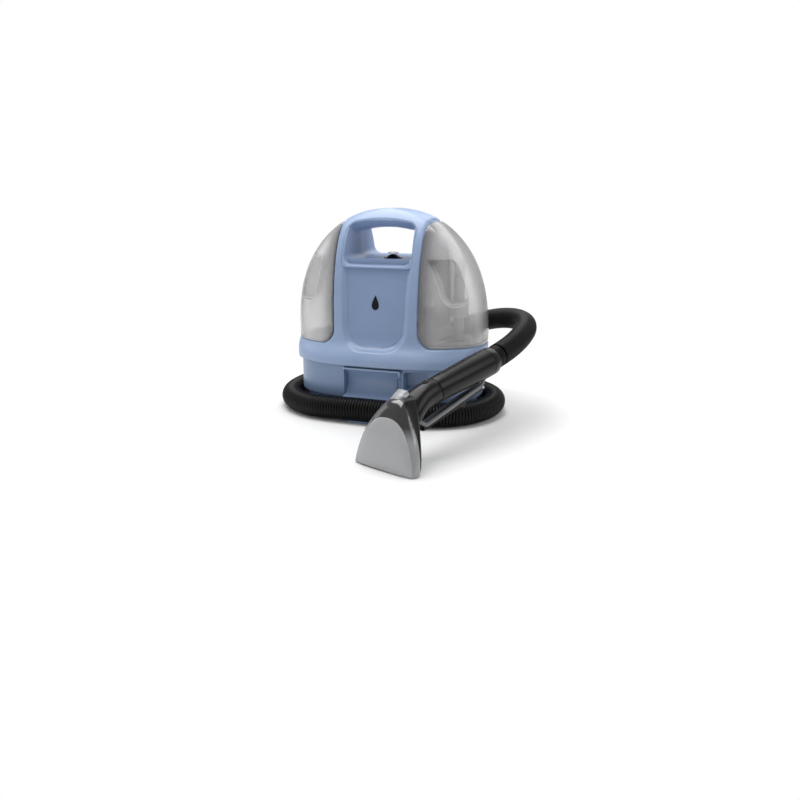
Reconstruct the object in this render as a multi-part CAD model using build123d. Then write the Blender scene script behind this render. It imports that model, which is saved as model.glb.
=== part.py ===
from build123d import *
from math import cos, degrees, pi, radians, sin, tan
import os

# Portable spot extractor: an arched body with a tank on each side, a hose wound round
# the base and a hand tool standing on its lip in front of the machine.
# Millimetres. Origin on the floor under the middle of the base, +Z up, front towards -Y.

WALL = 3.0
TANK_WALL = 2.5
FIT = 0.3
SCREW_RADIUS = 1.5

# Arched body
ARCH_HALF = 152.3
ARCH_FOOT = 108.3
ARCH_TOP = 312.0
ARCH_POWER = 2.24
BODY_Y = 6.5
BODY_DEPTH = 82.9
CROWN_HALF = 158.3
CROWN_POWER = 2.6
SECTION_HEIGHTS = (108.0, 150.0, 190.0, 225.0, 255.0, 280.0, 300.0, 314.0)

# Middle column between the tanks
COLUMN_HALF = 68.0
COVER_HALF = 51.0
TOWER_TOP = 236.0
HANDLE_UNDER = 285.0
OPENING_FRONT = 54.0
OPENING_BACK = 53.0
COVER_FOOT = 227.0

# Skirt round the foot of the arch
SKIRT_FOOT = 81.0
DECK_TOP = 111.7
SKIRT_SECTIONS = (
    (SKIRT_FOOT, 153.0, 95.9, 0.0),
    (89.0, 153.0, 95.3, 0.2),
    (99.0, 152.9, 90.0, 3.0),
    (DECK_TOP, 152.6, 83.6, BODY_Y),
)

# Base tub
BASE_HALF = 146.9
BASE_DEPTH = 85.7
BASE_POWER = 2.51
GROOVE_HALF = 138.0
GROOVE_DEPTH = 77.0
GROOVE_TOP = 30.0
PLATE_FOOT = 5.0
PLATE_TOP = 8.0

# Front cradle for the hand tool
CRADLE_X = (-46.0, 47.0)
CRADLE_Z = 55.0
CRADLE_RADIUS = 21.0
CRADLE_FRONT = -91.0

# Tanks
TANK_FOOT = DECK_TOP + 0.4
TANK_X = 108.0
NECK_RADIUS = 17.0

# Motor, fan and pump inside
MOTOR_Y = 8.0
MOTOR_RADIUS = 42.0
MOTOR_FOOT = 122.0
MOTOR_TOP = 190.0
MOTOR_SHELL = 1.5
STATOR_BORE = 27.0
STATOR_Z = (134.0, 164.0)
SHAFT_RADIUS = 4.15
FAN_RADIUS = 56.0
FAN_FOOT = 84.0
FAN_TOP = 105.0
PUMP_X = -92.0

# Power button
BUTTON_Y = 8.0
BUTTON_RADIUS = 13.0
BUTTON_TRAVEL = 3.0

# Hose
PORT_X = -70.0
PORT_Z = 60.0
PORT_RADIUS = 15.0
HOSE_RADIUS = 17.0
HOSE_BORE = 13.5

# Hand tool, in its own frame: X across the lip, Y back from the lip, Z up
TOOL_PLACE = Location((98.5, -294.0, 0.0), (0, 0, -22.4))
HANDLE_RADIUS = 20.0
HANDLE_NOSE = 17.4
HANDLE_REAR = 222.0
HANDLE_SEAM = 96.0
HANDLE_SLOPE = 0.178
TRIGGER_HALF = 5.0
PIVOT = (196.0, 72.0)
NECK_PLANES = (((0, 66, 75.5), (0, 0.9, 0.42)), ((0, 44, 63), (0, 0.55, 0.62)))
NECK_SIZES = ((20.5, 18.5), (26.0, 18.5))
NOZZLE_SECTIONS = (
    # width, front, back, height
    (98.0, 3.0, 22.0, 0.5),
    (90.0, 3.0, 30.0, 24.0),
    (62.0, 6.0, 44.0, 52.0),
    (40.0, 16.0, 56.0, 74.0),
)


def superellipse(half, depth, power, z, y0=0.0):
    """Flat oval face, squarer than an ellipse, at one height."""
    points = []
    for step in range(32):
        angle = 2 * pi * (step + 0.5) / 32
        c, s = cos(angle), sin(angle)
        x = half * abs(c) ** (2 / power) * (1 if c > 0 else -1)
        y = depth * abs(s) ** (2 / power) * (1 if s > 0 else -1)
        points.append((x, y + y0, z))
    return Face(Wire([Edge.make_spline([Vector(*p) for p in points], periodic=True)]))


def oval_band(half, depth, power, z0, z1, y0=0.0):
    return extrude(superellipse(half, depth, power, z0, y0), z1 - z0, dir=(0, 0, 1))


def half_depth(z):
    """Half of the body's depth at a height: full at the foot, closing towards the handle."""
    t = min(max((z - ARCH_FOOT) / (ARCH_TOP + 4 - ARCH_FOOT), 0.0), 1.0)
    return BODY_DEPTH * (1 - t ** 2.6) ** (1 / 2.2)


def arch_height(x, inset=0.0):
    t = abs(x) / (ARCH_HALF - inset)
    return ARCH_FOOT + (ARCH_TOP - inset - ARCH_FOOT) * (1 - t ** ARCH_POWER) ** (1 / ARCH_POWER)


def block(x0, x1, y0, y1, z0, z1):
    return Pos((x0 + x1) / 2, (y0 + y1) / 2, (z0 + z1) / 2) * Box(x1 - x0, y1 - y0, z1 - z0)


def post(x, y, z0, z1, radius):
    return Pos(x, y, (z0 + z1) / 2) * Cylinder(radius, z1 - z0)


def tube(x, y, z0, z1, outer, inner):
    return post(x, y, z0, z1, outer) - post(x, y, z0 - 1, z1 + 1, inner)


def arch_prism(inset):
    """The front view of the arch, carried right through from front to back."""
    half = ARCH_HALF - inset
    xs = [half * sin(pi / 2 * step / 8) for step in range(-8, 9)]
    curve = Spline([(x, arch_height(x, inset)) for x in xs])
    foot = Polyline((half, ARCH_FOOT), (half, 100.0), (-half, 100.0), (-half, ARCH_FOOT))
    face = make_face([curve, foot])
    return extrude(Plane.XZ * face, 120, both=True)


def envelope(inset=0.0):
    """The arched body's outer surface, moved inwards by inset."""
    sections = [
        superellipse(CROWN_HALF - inset, half_depth(z) - inset, CROWN_POWER, z, BODY_Y)
        for z in SECTION_HEIGHTS
    ]
    return loft(sections) & arch_prism(inset)


def skirt_solid(inset, top):
    sections = [
        superellipse(half - inset, depth - inset, BASE_POWER, z, y0)
        for z, half, depth, y0 in SKIRT_SECTIONS
    ]
    return loft(sections) & block(-200, 200, -200, 200, SKIRT_FOOT - 1, top)


def upright(outline, depth=120):
    """Carries a face drawn in the front view through from front to back."""
    return extrude(Plane.XZ * outline, depth, both=True)


def opening_face(half, grow):
    """Front view of the gap between the tower and the handle."""
    half += grow
    low, high = TOWER_TOP - grow, HANDLE_UNDER + grow
    rise = 5.0
    side = Polyline((-half, high - rise), (-half, low), (half, low), (half, high - rise))
    top = ThreePointArc((half, high - rise), (0, high), (-half, high - rise))
    return make_face([side, top])


def opening_block(grow=0.0):
    """The hand opening, carried right through and drawing in towards the back."""
    front = Plane.XZ.offset(100) * opening_face(OPENING_FRONT, grow)
    back = Plane.XZ.offset(-110) * opening_face(OPENING_BACK, grow)
    return loft([front, back])


def bib_face(grow=0.0):
    """Front view of the recessed panel: straight top, sides drawing in to a rounded foot."""
    top, foot = COVER_FOOT - 1.0, DECK_TOP + 4 - grow
    wide, narrow = 51.0 + grow, 47.0 + grow
    outline = Polyline((-wide, top), (-narrow, foot), (narrow, foot), (wide, top), close=True)
    face = make_face(outline)
    low = face.vertices().sort_by(Axis.Y)[:2]
    return fillet(low, 28 + grow)


def slot_row(count, pitch, width, height, centre, depth):
    """A row of upright slots cut along Y."""
    x, y, z = centre
    slots = []
    for step in range(count):
        offset = (step - (count - 1) / 2) * pitch
        slots.append(Pos(x + offset, y, z) * Box(width, depth, height))
    return slots


# ---------------------------------------------------------------- base

def base_plate():
    half, depth = GROOVE_HALF - WALL - FIT, GROOVE_DEPTH - WALL - FIT
    plate = oval_band(half, depth, BASE_POWER, PLATE_FOOT, PLATE_TOP)
    tongue = block(-28, 28, -113, -62, 0.2, 2.4) + block(-28, 28, -66, -62, 0.2, PLATE_TOP)
    boss = post(0, 0, 0, PLATE_TOP, 12)
    holes = [post(x, y, 0, 12, SCREW_RADIUS + 0.2) for x, y in screw_places()]
    return plate + tongue + boss - holes


def base_shell():
    """Tub with a groove round its foot for the wound hose, and a pocket in its front."""
    half, depth, top = BASE_HALF - WALL, BASE_DEPTH - WALL, SKIRT_FOOT + 3
    outer = oval_band(GROOVE_HALF, GROOVE_DEPTH, BASE_POWER, PLATE_FOOT, GROOVE_TOP + 3)
    outer += oval_band(BASE_HALF, BASE_DEPTH, BASE_POWER, GROOVE_TOP, top)
    inner = oval_band(GROOVE_HALF - WALL, GROOVE_DEPTH - WALL, BASE_POWER, PLATE_FOOT - 1, GROOVE_TOP + 4)
    inner += oval_band(half, depth, BASE_POWER, GROOVE_TOP + WALL, top + 1)
    pocket = block(50, 86, -95, -76, 50, 76)
    pocket_wall = block(47.5, 88.5, -95, -73.5, 47.5, 78.5)
    shell = (outer - pocket) - (inner - pocket_wall)
    cradle_window = block(CRADLE_X[0] - 0.2, CRADLE_X[1] + 0.2, -100, -66, 33.0, 78.4)
    port_window = Pos(PORT_X, 84, PORT_Z) * Rot(90, 0, 0) * Cylinder(PORT_RADIUS + 0.2, 40)
    shell -= block(-28.2, 28.2, -90, -60, 0, PLATE_TOP)
    return shell - cradle_window - port_window - hose_cradle()


def rubber_feet():
    return [
        post(sx * 98, sy * 42, 0, PLATE_FOOT, 11) - post(sx * 98, sy * 42, -1, 2.5, 4)
        for sx in (-1, 1) for sy in (-1, 1)
    ]


def screw_places():
    return [(sx * (118 - 30 * abs(sy)), sy * 56) for sx in (-1, 1) for sy in (-1, 0, 1)]


def base_screws():
    return [
        post(x, y, 3.0, PLATE_FOOT, 3.2) + post(x, y, PLATE_FOOT, 20, SCREW_RADIUS)
        for x, y in screw_places()
    ]


def cradle_profile(grow):
    """Side view of the open channel that the tool's handle is pushed into."""
    centre_y = CRADLE_FRONT
    circle = Pos(centre_y, CRADLE_Z) * Circle(CRADLE_RADIUS + grow)
    front = Pos(centre_y - 40, CRADLE_Z) * Rectangle(80, 200)
    return circle - front


def hose_cradle():
    ring = cradle_profile(2.6) - cradle_profile(0)
    channel = extrude(Plane.YZ * ring, CRADLE_X[1] - CRADLE_X[0], dir=(1, 0, 0))
    channel = Pos(CRADLE_X[0], 0, 0) * channel
    window = block(35, 43, -80, -60, 42, 62)
    lip = block(CRADLE_X[1] - 3, CRADLE_X[1], CRADLE_FRONT - 0.5, CRADLE_FRONT + 2, 71, 78)
    return channel - window + lip


def cradle_latch():
    """Spring finger behind the cradle's small window."""
    return block(35.5, 42.5, -73.4, -66.6, 42.5, 61.5) & block(30, 50, -69.5, -60, 40, 64)


# ---------------------------------------------------------------- body

def deck_wells():
    """Round wells in the deck that the tanks' necks drop into."""
    return post(-TANK_X, BODY_Y, 100, 115, NECK_RADIUS + 2), post(TANK_X, BODY_Y, 100, 115, 12.5)


def housing_solid():
    """Skirt, deck, pillars and handle as one hollow skin, before it is split."""
    skirt = skirt_solid(0, DECK_TOP) - skirt_solid(WALL, DECK_TOP - WALL)
    column = block(-COLUMN_HALF, COLUMN_HALF, -120, 120, DECK_TOP - 1, 400)
    hollow = block(-COLUMN_HALF + WALL, COLUMN_HALF - WALL, -120, 120, DECK_TOP - 6, 400)
    outer = (envelope(0) & column) - opening_block(0)
    inner = (envelope(WALL) & hollow) - opening_block(WALL)
    body = (skirt - (inner & block(-200, 200, -200, 200, 100, DECK_TOP + 1))) + (outer - inner)
    for well in deck_wells():
        body -= well
    for catch in catch_blocks(0.2):
        body -= catch
    return body


def top_cover_zone():
    """The crown of the tower, lifted out of the housing as its own lid."""
    return block(-COVER_HALF, COVER_HALF, -100, 100, COVER_FOOT, TOWER_TOP + 0.5)


def front_housing(body):
    half = body & block(-200, 200, -200, BODY_Y, 0, 400)
    half -= upright(bib_face(0)) & block(-200, 200, -200, -40, 0, 400)
    return half - top_cover_zone()


def rear_housing(body):
    half = body & block(-200, 200, BODY_Y, 200, 0, 400)
    half -= block(-40, 40, 60, 120, 150, 205)
    half -= Pos(40, 86, 135) * Rot(90, 0, 0) * Cylinder(7.2, 40)
    return half - top_cover_zone()


def top_cover(body):
    half = COVER_HALF - 0.2
    cover = body & block(-half, half, -100, 100, COVER_FOOT + 0.2, TOWER_TOP + 0.5)
    return cover - post(0, BUTTON_Y, 220, 240, BUTTON_RADIUS + 0.2)


def front_panel():
    skin = envelope(WALL + 0.05) - envelope(WALL + 2.2)
    front = block(-200, 200, -200, -40, DECK_TOP + 0.5, COVER_FOOT - 1.2)
    return skin & upright(bib_face(2.5)) & front


def rear_grille():
    skin = envelope(0.6) - envelope(WALL)
    grille = skin & block(-39.7, 39.7, 60, 120, 150.3, 204.7)
    for slot in slot_row(11, 6.4, 3.2, 44, (0, 84, 177.5), 60):
        grille -= slot
    return grille


def housing_screws():
    screws = []
    for x, z in ((-60, 130), (60, 130), (-60, 215), (60, 215)):
        y = BODY_Y + half_depth(z) - 14
        shank = Pos(x, y, z) * Rot(90, 0, 0) * Cylinder(1.5, 16)
        head = Pos(x, y + 9, z) * Rot(90, 0, 0) * Cylinder(3.0, 2.4)
        screws.append(shank + head)
    return screws


def cord_gland():
    body = Pos(40, 86, 135) * Rot(90, 0, 0) * Cylinder(7.0, 14)
    flange = Pos(40, 92.5, 135) * Rot(90, 0, 0) * Cylinder(9.5, 3)
    bore = Pos(40, 88, 135) * Rot(90, 0, 0) * Cylinder(3.2, 40)
    return body + flange - bore


# ---------------------------------------------------------------- switch and motor

def button_bezel():
    bore = BUTTON_RADIUS - 2.6
    collar = tube(0, BUTTON_Y, TOWER_TOP - 5, TOWER_TOP + 1.4, BUTTON_RADIUS, bore)
    return collar + tube(0, BUTTON_Y, TOWER_TOP + 0.1, TOWER_TOP + 1.4, BUTTON_RADIUS + 1.5, bore)


def power_button():
    """Dark dome that the foot or a finger pushes."""
    radius = BUTTON_RADIUS - 3.0
    stem = post(0, BUTTON_Y, TOWER_TOP - 12, TOWER_TOP + 2.5, radius)
    dome = Pos(0, BUTTON_Y, TOWER_TOP - 6.5) * Sphere(13.0)
    dome &= post(0, BUTTON_Y, TOWER_TOP, TOWER_TOP + 9, radius)
    return stem + dome


def button_cap():
    """Clear moulding standing on the dome."""
    post_cap = post(0, BUTTON_Y, TOWER_TOP + 6.8, TOWER_TOP + 9.5, 8.5)
    return chamfer(post_cap.edges().group_by(Axis.Z)[-1], 1.2)


def power_switch():
    body = block(-9, 9, BUTTON_Y - 12, BUTTON_Y + 12, TOWER_TOP - 34, TOWER_TOP - 18)
    return body + post(0, BUTTON_Y, TOWER_TOP - 18, TOWER_TOP - 15.4, 2.5)


def motor_body(inset):
    can = post(0, MOTOR_Y, MOTOR_FOOT + inset, MOTOR_TOP - 12 - inset, MOTOR_RADIUS - inset)
    return can + post(0, MOTOR_Y, MOTOR_TOP - 14, MOTOR_TOP - inset, MOTOR_RADIUS - 14 - inset)


def motor_can():
    """Pressed steel shell of the motor with a bearing seat at each end."""
    seats = tube(0, MOTOR_Y, MOTOR_FOOT, MOTOR_FOOT + 7, 9, SHAFT_RADIUS + 0.05)
    seats += tube(0, MOTOR_Y, MOTOR_TOP - 9, MOTOR_TOP - 1, 9, SHAFT_RADIUS + 0.05)
    shell = motor_body(0) - motor_body(MOTOR_SHELL)
    return shell - post(0, MOTOR_Y, MOTOR_FOOT - 1, MOTOR_FOOT + 5, SHAFT_RADIUS + 0.05) + seats


def motor_stator():
    """Laminated ring round the armature."""
    return tube(0, MOTOR_Y, *STATOR_Z, MOTOR_RADIUS - MOTOR_SHELL, STATOR_BORE)


def motor_armature():
    """Laminated core and, above it, the commutator on the shaft."""
    core = tube(0, MOTOR_Y, *STATOR_Z, STATOR_BORE - 1, SHAFT_RADIUS)
    return core + tube(0, MOTOR_Y, STATOR_Z[1], MOTOR_TOP - 16, 11, SHAFT_RADIUS)


def motor_mount():
    """Rubber ring that holds the motor off the deck."""
    return tube(0, MOTOR_Y, DECK_TOP + 0.3, MOTOR_FOOT, MOTOR_RADIUS + 3, MOTOR_RADIUS - 8)


def motor_shaft():
    return post(0, MOTOR_Y, FAN_FOOT + 4, MOTOR_TOP - 3, SHAFT_RADIUS)


def impeller():
    """Backing plate, cover ring and curved-back blades of the suction fan."""
    plate = post(0, MOTOR_Y, FAN_FOOT + 5, FAN_FOOT + 7, FAN_RADIUS - 6)
    hub = post(0, MOTOR_Y, FAN_FOOT + 5, FAN_FOOT + 16, 9)
    wheel = plate + hub
    for step in range(8):
        blade = Pos(28, 0, FAN_FOOT + 10) * Rot(0, 0, 28) * Box(38, 1.6, 8)
        wheel += Pos(0, MOTOR_Y, 0) * Rot(0, 0, 45 * step) * blade
    return wheel - post(0, MOTOR_Y, FAN_FOOT, FAN_TOP + 10, 4.2)


def fan_housing():
    outer = post(0, MOTOR_Y, FAN_FOOT, FAN_TOP, FAN_RADIUS)
    inner = post(0, MOTOR_Y, FAN_FOOT + 2.4, FAN_TOP - 2.4, FAN_RADIUS - 2.4)
    outlet = block(-10, 10, MOTOR_Y + 40, MOTOR_Y + FAN_RADIUS + 2, FAN_FOOT + 5, FAN_TOP - 5)
    return outer - inner - post(0, MOTOR_Y, FAN_FOOT - 1, FAN_TOP + 1, 12) - outlet


def pump_body():
    body = block(PUMP_X - 20, PUMP_X + 20, -34, 6, 30, 62)
    chamber = post(PUMP_X, -14, 44, 60, 12.3)
    return body - chamber + post(PUMP_X - 14, 6, 62, 74, 4) + post(PUMP_X + 14, 6, 62, 74, 4)


def pump_rotor():
    rotor = post(PUMP_X, -14, 46, 58, 4)
    for step in range(4):
        rotor += Pos(PUMP_X, -14, 52) * Rot(0, 0, 45 * step) * Box(22, 2, 10)
    return rotor


def pump_cover():
    return block(PUMP_X - 20, PUMP_X + 20, -34, 1, 62.1, 65)


def supply_line():
    """Thin tube inside the base from the clean tank's receiver to the pump."""
    x = PUMP_X - 14
    line = FilletPolyline([(x, 20, 93.4), (x, 20, 82), (x, 6, 82), (x, 6, 74.1)], radius=3.5)
    return sweep(Plane(line @ 0, z_dir=line % 0) * Circle(3), line)


def suction_duct():
    """Air duct under the deck from the dirty tank to the eye of the fan."""
    run = block(14, TANK_X + 6, -10 + BODY_Y, 10 + BODY_Y, 60, 80)
    bore = block(16, TANK_X + 4, -8 + BODY_Y, 8 + BODY_Y, 62, 78)
    rise = tube(TANK_X, BODY_Y, 80, 99.5, 8, 6)
    return run - bore - post(TANK_X, BODY_Y, 70, 90, 6) + rise - block(10, 15, 0, 13, 64, 76)


# ---------------------------------------------------------------- tanks

def tank_side(sign, inset):
    side = block(COLUMN_HALF + 0.5 + inset, 170, -120, 120, TANK_FOOT + inset, 400)
    return envelope(inset) & (side if sign > 0 else mirror(side, about=Plane.YZ))


def grip_pocket(points, grow, back):
    """Finger recess pressed into the front of a tank."""
    face = make_face(Polyline(*points, close=True))
    face = fillet(face.vertices(), 11)
    if grow:
        face = offset(face, grow)
    return extrude(Plane.XZ * face, 60, dir=(0, -1, 0)).moved(Location((0, back + grow, 0)))


LEFT_GRIP = ((-122, 244), (-88, 240), (-104, 172), (-134, 178))
RIGHT_GRIP = ((78, 240), (126, 242), (141, 176), (108, 174))


def clean_tank():
    pocket = grip_pocket(LEFT_GRIP, 0, -38)
    wall = grip_pocket(LEFT_GRIP, TANK_WALL, -38)
    shell = (tank_side(-1, 0) - pocket) - (tank_side(-1, TANK_WALL) - wall)
    return shell - post(-TANK_X, BODY_Y, 100, 125, NECK_RADIUS - 3) + tube(
        -TANK_X, BODY_Y, TANK_FOOT - 5, TANK_FOOT + 4, NECK_RADIUS - 0.6, NECK_RADIUS - 3)


def clean_tank_cap():
    cup = post(-TANK_X, BODY_Y, TANK_FOOT - 8, TANK_FOOT - 0.6, NECK_RADIUS + 1.4)
    cup -= post(-TANK_X, BODY_Y, TANK_FOOT - 6, TANK_FOOT, NECK_RADIUS - 0.5)
    return cup - post(-TANK_X, BODY_Y, TANK_FOOT - 9, TANK_FOOT, 4.3)


def valve_plunger():
    pin = post(-TANK_X, BODY_Y, TANK_FOOT - 9.5, TANK_FOOT + 6, 2.2)
    return pin + post(-TANK_X, BODY_Y, TANK_FOOT - 5.4, TANK_FOOT - 3.4, 6.5)


def clean_receiver():
    """Cup under the deck that the tank's cap seats in, with its inlet stub."""
    cup = tube(-TANK_X, BODY_Y, 96, DECK_TOP - WALL - 0.1, NECK_RADIUS + 4.5, NECK_RADIUS + 2)
    floor = post(-TANK_X, BODY_Y, 93.5, 96, NECK_RADIUS + 4.5)
    return cup + floor


def dirty_tank():
    pocket = grip_pocket(RIGHT_GRIP, 0, -38)
    wall = grip_pocket(RIGHT_GRIP, TANK_WALL, -38)
    shell = (tank_side(1, 0) - pocket) - (tank_side(1, TANK_WALL) - wall)
    return shell - block(COLUMN_HALF, 170, -120, 120, 100, TANK_FOOT + 6)


def dirty_tank_base():
    foot = tank_side(1, 0) & block(COLUMN_HALF, 170, -120, 120, 100, TANK_FOOT + 3)
    rim = tank_side(1, TANK_WALL + 0.2) & block(COLUMN_HALF, 170, -120, 120, 100, TANK_FOOT + 12)
    rim -= tank_side(1, TANK_WALL + 2.2) & block(COLUMN_HALF, 170, -120, 120, TANK_FOOT + 3, 300)
    spigot = tube(TANK_X, BODY_Y, TANK_FOOT - 9, TANK_FOOT + 1, 12.0, 8.6)
    return foot + rim + spigot - post(TANK_X, BODY_Y, 100, 130, 8.6)


def tank_seal():
    foot = tank_side(1, 0.4) - tank_side(1, TANK_WALL)
    return foot & block(COLUMN_HALF, 170, -120, 120, TANK_FOOT + 3.1, TANK_FOOT + 5.9)


def standpipe():
    """Upright pipe that lifts the sucked-up water and air into the tank."""
    pipe = tube(TANK_X, BODY_Y, TANK_FOOT + 0.2, 232, 8.4, 6.2)
    hood = post(TANK_X, BODY_Y, 232, 235, 11)
    return pipe + hood - block(TANK_X - 20, TANK_X + 20, -30, BODY_Y - 2, 214, 231)


def tank_float():
    return tube(TANK_X, BODY_Y, 150, 176, 15, 9.0)


def catch_blocks(grow):
    """Spring catches let into the pillars' outer faces, near their tops."""
    return [
        block(sx * 66 - 1.9, sx * 66 + 1.9, BODY_Y - 8 - grow, BODY_Y + 8 + grow, 280 - grow, 284 + grow)
        for sx in (-1, 1)
    ]


def tank_catches():
    return catch_blocks(0)


# ---------------------------------------------------------------- hose and tool

def base_ring_point(degrees_round, z, grow=3.2):
    angle = radians(degrees_round)
    c, s = cos(angle), sin(angle)
    x = (164.0 + grow) * abs(c) ** (2 / 2.42) * (1 if c > 0 else -1)
    y = (104.2 + grow) * abs(s) ** (2 / 2.42) * (1 if s > 0 else -1)
    return (x, y, z)


HOSE_ROUTE = (
    (-50.0, 106.0, 60.0),
    (-18.0, 108.0, 55.5),
    (20.0, 109.5, 38.0),
    (55.0, 108.5, 23.0),
    (94.0, 102.5, 17.6),
    (138.2, 76.2, 17.5),
    (166.5, 27.9, 17.5),
    (165.5, -27.9, 17.5),
    (138.2, -76.2, 17.5),
    (90.0, -102.5, 17.8),
    (40.0, -107.5, 20.0),
    (-12.0, -108.5, 21.0),
    (-58.0, -107.0, 19.5),
    (-98.0, -101.0, 17.6),
    (-142.0, -72.0, 17.5),
    (-166.0, -25.0, 17.5),
    (-168.5, 27.0, 18.0),
    (-153.0, 76.0, 21.0),
    (-118.0, 115.0, 30.0),
    (-72.0, 142.0, 45.0),
    (-20.0, 152.0, 66.0),
    (34.0, 156.0, 90.0),
    (82.0, 158.0, 113.0),
    (128.0, 150.0, 128.0),
    (166.0, 126.0, 134.5),
    (192.0, 90.0, 135.0),
    (206.0, 46.0, 132.0),
    (207.0, -2.0, 125.5),
    (198.5, -46.0, 115.3),
    (189.0, -74.0, 109.8),
)


def hose_path():
    """Straight runs joined by arcs as large as their runs allow."""
    points = [Vector(*p) for p in HOSE_ROUTE]
    radii = []
    for before, here, after in zip(points, points[1:], points[2:]):
        turn = (here - before).get_angle(after - here)
        shorter = min((here - before).length, (after - here).length)
        radii.append(0.45 * shorter / tan(radians(turn) / 2))
    print("hose radii", [round(r) for r in radii])
    path = FilletPolyline(*HOSE_ROUTE, radius=radii)
    print("hose length", round(path.length))
    return path


def hose(path):
    solid = sweep(Plane(path @ 0, z_dir=path % 0) * Circle(HOSE_RADIUS), path)
    print("hose volume ratio", round(solid.volume / (pi * HOSE_RADIUS ** 2 * path.length), 4))
    return solid


def hose_port():
    """Elbow on the back of the base that the hose is fixed to."""
    start = Plane(Vector(*HOSE_ROUTE[0]), z_dir=Vector(*HOSE_ROUTE[1]) - Vector(*HOSE_ROUTE[0]))
    sleeve = start * (Pos(0, 0, -13.3) * Cylinder(HOSE_RADIUS + 1.5, 26))
    passage = start * (Pos(0, 0, -11.3) * Cylinder(HOSE_BORE, 24))
    boss = Pos(PORT_X, 84, PORT_Z) * Rot(90, 0, 0) * Cylinder(PORT_RADIUS, 26)
    boss_passage = Pos(PORT_X, 86, PORT_Z) * Rot(90, 0, 0) * Cylinder(PORT_RADIUS - WALL, 36)
    return sleeve + boss - passage - boss_passage


def hose_cuff(path):
    end = Plane(path @ 1, z_dir=path % 1)
    return end * (Pos(0, 0, 7.2) * (Cylinder(HOSE_RADIUS + 1.2, 14) - Cylinder(HOSE_BORE, 16)))


def tool_axis(s):
    """Height of the handle's axis above the floor at a distance back from the lip."""
    return 85.2 + (s - 102.3) * HANDLE_SLOPE


def handle_plane(s):
    return Plane(origin=(0, s, tool_axis(s)), x_dir=(-1, 0, 0), z_dir=(0, 1, HANDLE_SLOPE))


def tool_handle():
    rear, middle, seam = handle_plane(HANDLE_REAR), handle_plane(160), handle_plane(HANDLE_SEAM)
    radii = ((seam, HANDLE_NOSE), (middle, HANDLE_RADIUS - 0.6), (rear, HANDLE_RADIUS))
    rounds = [plane * Circle(radius) for plane, radius in radii]
    bore = loft([plane * Circle(radius - WALL) for plane, radius in radii])
    slot = handle_plane(158) * (Pos(0, -HANDLE_RADIUS, 0) * Box(9, 14, 60))
    inner, outer = TRIGGER_HALF + 0.3, TRIGGER_HALF + 2.8
    lug = block(inner, outer, PIVOT[0] - 5, PIVOT[0] + 5, PIVOT[1] - 3.5, PIVOT[1] + 12)
    return loft(rounds) - bore - slot + (lug + mirror(lug, about=Plane.YZ) - bore)


def neck_form(inset):
    sections = [handle_plane(HANDLE_SEAM - 0.4) * Circle(HANDLE_NOSE - inset)]
    for (origin, normal), (wide, high) in zip(NECK_PLANES, NECK_SIZES):
        plane = Plane(origin=origin, x_dir=(1, 0, 0), z_dir=normal)
        sections.append(plane * Ellipse(wide - inset, high - inset))
    return loft(sections)


def tool_neck():
    """Front part of the handle, bending down into the nozzle."""
    return neck_form(0) - neck_form(WALL) - lock_button(5.5, 12)


def nozzle_form(inset):
    sections = []
    for width, front, back, z in NOZZLE_SECTIONS:
        wide, deep = width - 2 * inset, back - front - 2 * inset
        face = RectangleRounded(wide, deep, min(wide, deep) * 0.45)
        sections.append(Pos(0, (front + back) / 2, z) * face)
    return loft(sections)


def nozzle_body():
    """Fan-shaped suction head, open at the front where the clear window fits."""
    outer = nozzle_form(0)
    inner = nozzle_form(WALL) & block(-60, 60, -10, 80, 0, NOZZLE_SECTIONS[-1][3] - WALL)
    mouth = Pos(0, 0, -0.5) * (nozzle_form(WALL) & block(-60, 60, -10, 80, 0, 4))
    opening = extrude(Plane.XZ * window_face(-3), 14, dir=(0, 1, 0))
    origin, normal = NECK_PLANES[1]
    neck_bore = Plane(origin=origin, x_dir=(1, 0, 0), z_dir=normal) * Cylinder(NECK_SIZES[1][1] - WALL, 40)
    return outer - inner - mouth - opening - neck_bore


def window_face(grow):
    """Front view of the clear window: wide at the lip and arched at the top."""
    right = [(48.5, 2), (46.5, 18), (40, 40), (27, 60), (0, 72)]
    points = [(x + grow, z) for x, z in right[:-1]] + [(0, 72 + grow)]
    points += [(-x, z) for x, z in reversed(points[:-1])]
    return make_face([Spline(points), Line(points[-1], points[0])])


def nozzle_window():
    tilt = Plane(origin=(0, -1.2, 0), x_dir=(1, 0, 0), z_dir=(0, -1, 0.06))
    return extrude(tilt * window_face(0), 1.8, dir=(0, -1, 0.06))


def spray_tip():
    """Clear spray housing on top of the nozzle."""
    body = Pos(0, 33, 84) * Rot(38, 0, 0) * Box(17, 24, 7)
    return fillet(body.edges().filter_by(Axis.X), 2.5) - Pos(0, 23, 78) * Rot(38, 0, 0) * Cylinder(1.2, 30)


def lock_button(radius, height):
    return handle_plane(84) * (Pos(0, HANDLE_NOSE + 0.4, 0) * Rot(90, 0, 0) * Cylinder(radius, height))


def tool_lock():
    """Oval release on top of the neck that frees the nozzle."""
    return lock_button(5.2, 5)


def tool_trigger():
    """Long squeeze bar under the handle."""
    bar = Polyline(
        (200, 76.0), (158, 67.0), (120, 56.0), (75, 43.5), (72, 35.0),
        (113, 44.0), (148, 52.5), (157, 50.5), (163, 58.0), (200, 68.0), close=True)
    hole = Pos(0, PIVOT[0], PIVOT[1]) * Rot(0, 90, 0) * Cylinder(2.05, 14)
    return extrude(Plane.YZ * make_face(bar), TRIGGER_HALF, both=True) - hole


def trigger_pin():
    return Pos(0, PIVOT[0], PIVOT[1]) * Rot(0, 90, 0) * Cylinder(2.0, 16)


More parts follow.
